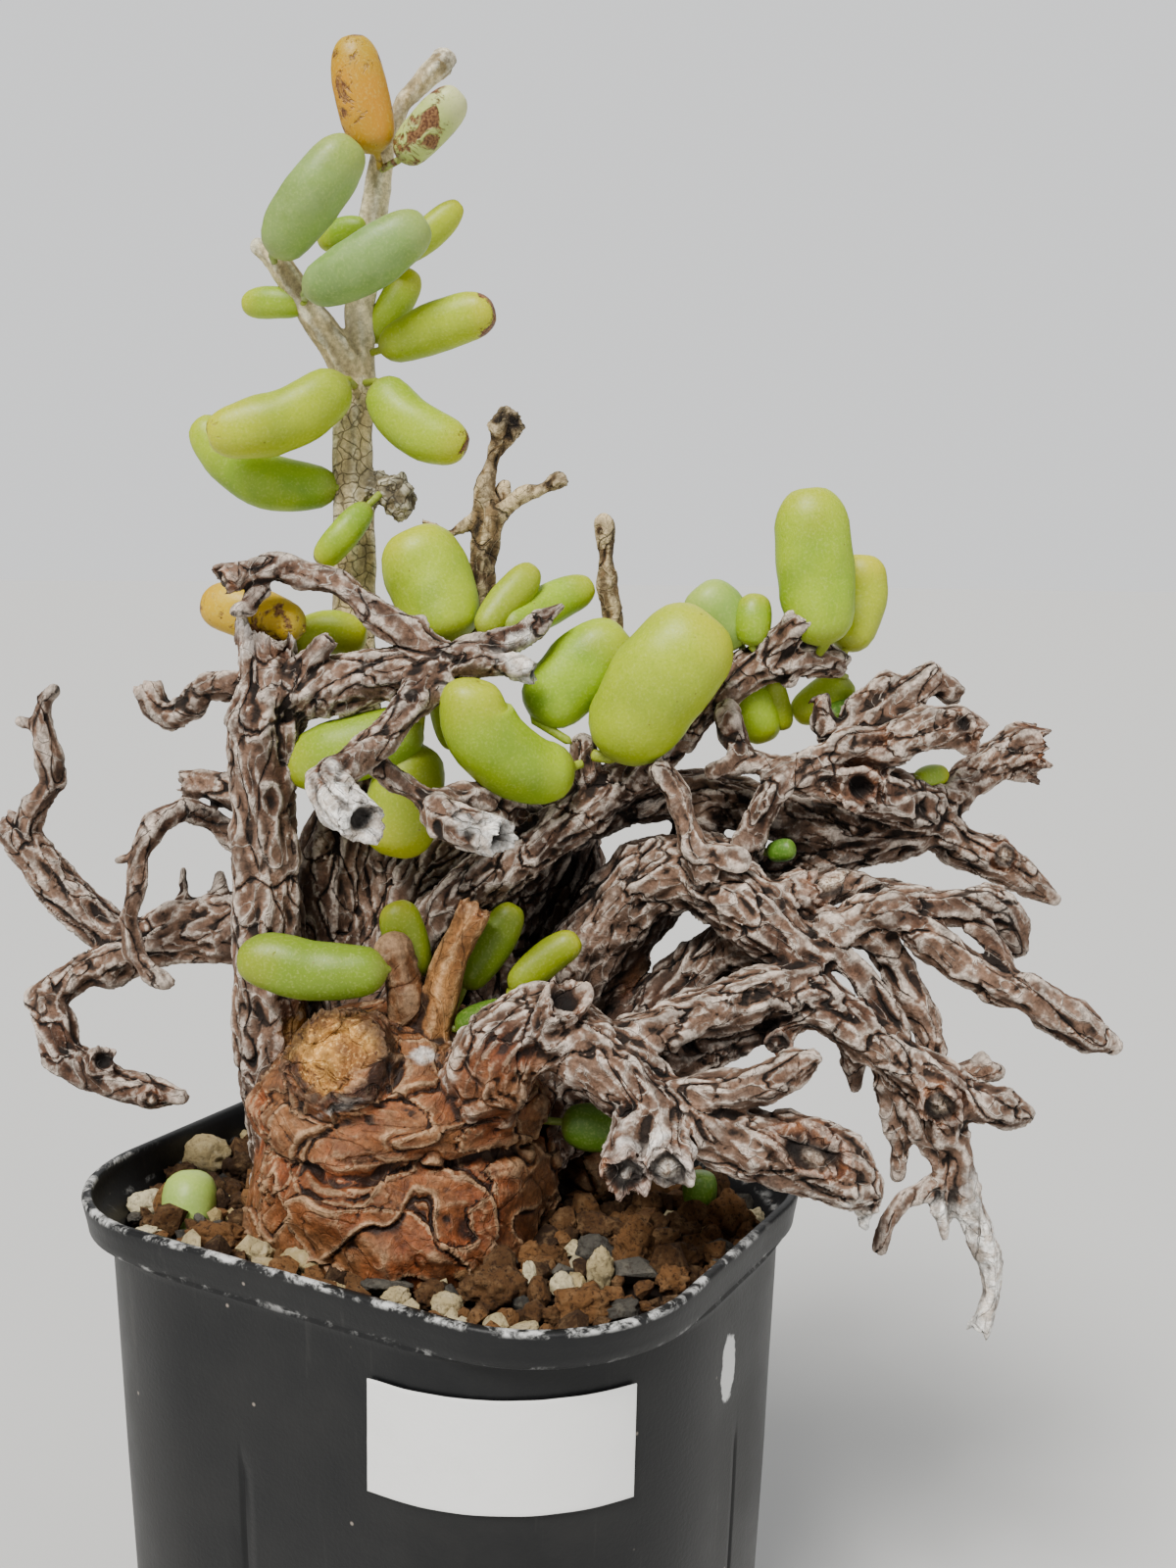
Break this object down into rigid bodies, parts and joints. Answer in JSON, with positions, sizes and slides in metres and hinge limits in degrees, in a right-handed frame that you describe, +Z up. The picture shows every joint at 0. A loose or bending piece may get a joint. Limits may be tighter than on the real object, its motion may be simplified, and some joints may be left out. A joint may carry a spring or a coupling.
{
  "type": "potted ceraria pygmaea",
  "caption": "Gnarled caudex plant with a swollen reddish base, rough grey limbs and plump green leaves, standing in a black round-cornered pot of loose grit",
  "frame": {"origin": "centre of the pot's underside, on the surface it stands on", "axes": "+Z up; +X along the pot's long side, +Y along its short side; the viewer of the picture stands toward +X -Y"},
  "size_m": [0.133, 0.0801, 0.212],
  "materials": {
    "pot": "matt black plastic with scuffs and pale scale",
    "label": "plain white tape, bare",
    "soil": "loose rusty brown, cream and dark grey grains",
    "red_bark": "reddish papery bark in flakes",
    "grey_bark": "rough grey-brown fibrous bark",
    "pale_bark": "pale beige bark with fine brown cracks",
    "dry_bark": "dry brittle stalk",
    "young_bark": "smooth ringed orange-brown bark",
    "leaf_lime": "satin yellow-green skin",
    "leaf_blue": "waxy blue-green skin",
    "leaf_orange": "satin orange skin with brown marks",
    "leaf_amber": "satin amber skin",
    "leaf_cream": "scabbed cream skin",
    "leaf_pale": "waxy pale green skin",
    "leaf_deep": "satin deep green skin",
    "leaf_fallen": "pale green skin with a yellow cut"
  },
  "bodies": {
    "root": {"pot": "pot", "label": "label", "soil": "soil", "caudex": "red_bark", "left_trunk": "grey_bark", "back_limb": "grey_bark", "pale_stem": "pale_bark", "upper_limb": "grey_bark", "diagonal_limb": "grey_bark", "front_limb": "grey_bark", "right_limb": "grey_bark", "upper_right_limb": "grey_bark", "reddish_stump": "red_bark", "tall_stalk": "dry_bark", "short_stalk": "dry_bark", "young_stem": "young_bark", "leaf_crown_1": "leaf_orange", "leaf_crown_2": "leaf_cream", "leaf_crown_3": "leaf_blue", "leaf_crown_4": "leaf_blue", "leaf_crown_5": "leaf_lime", "leaf_crown_6": "leaf_lime", "leaf_crown_7": "leaf_lime", "leaf_crown_8": "leaf_lime", "leaf_crown_9": "leaf_lime", "leaf_crown_10": "leaf_lime", "leaf_crown_11": "leaf_lime", "leaf_crown_12": "leaf_lime", "leaf_crown_13": "leaf_lime", "leaf_middle_1": "leaf_lime", "leaf_middle_2": "leaf_lime", "leaf_middle_3": "leaf_lime", "leaf_middle_4": "leaf_lime", "leaf_middle_5": "leaf_amber", "leaf_middle_6": "leaf_lime", "leaf_middle_7": "leaf_lime", "leaf_middle_8": "leaf_lime", "leaf_middle_9": "leaf_lime", "leaf_middle_10": "leaf_lime", "leaf_middle_11": "leaf_lime", "leaf_middle_12": "leaf_lime", "leaf_right_1": "leaf_pale", "leaf_right_2": "leaf_lime", "leaf_right_3": "leaf_lime", "leaf_right_4": "leaf_lime", "leaf_right_5": "leaf_lime", "leaf_right_6": "leaf_lime", "leaf_right_7": "leaf_lime", "leaf_right_8": "leaf_deep", "leaf_right_9": "leaf_lime", "leaf_right_10": "leaf_deep", "leaf_low_1": "leaf_lime", "leaf_low_2": "leaf_lime", "leaf_low_3": "leaf_lime", "leaf_low_4": "leaf_lime", "leaf_low_5": "leaf_deep", "leaf_low_6": "leaf_deep", "leaf_low_7": "leaf_deep", "leaf_low_8": "leaf_fallen"}
  },
  "joints": []
}
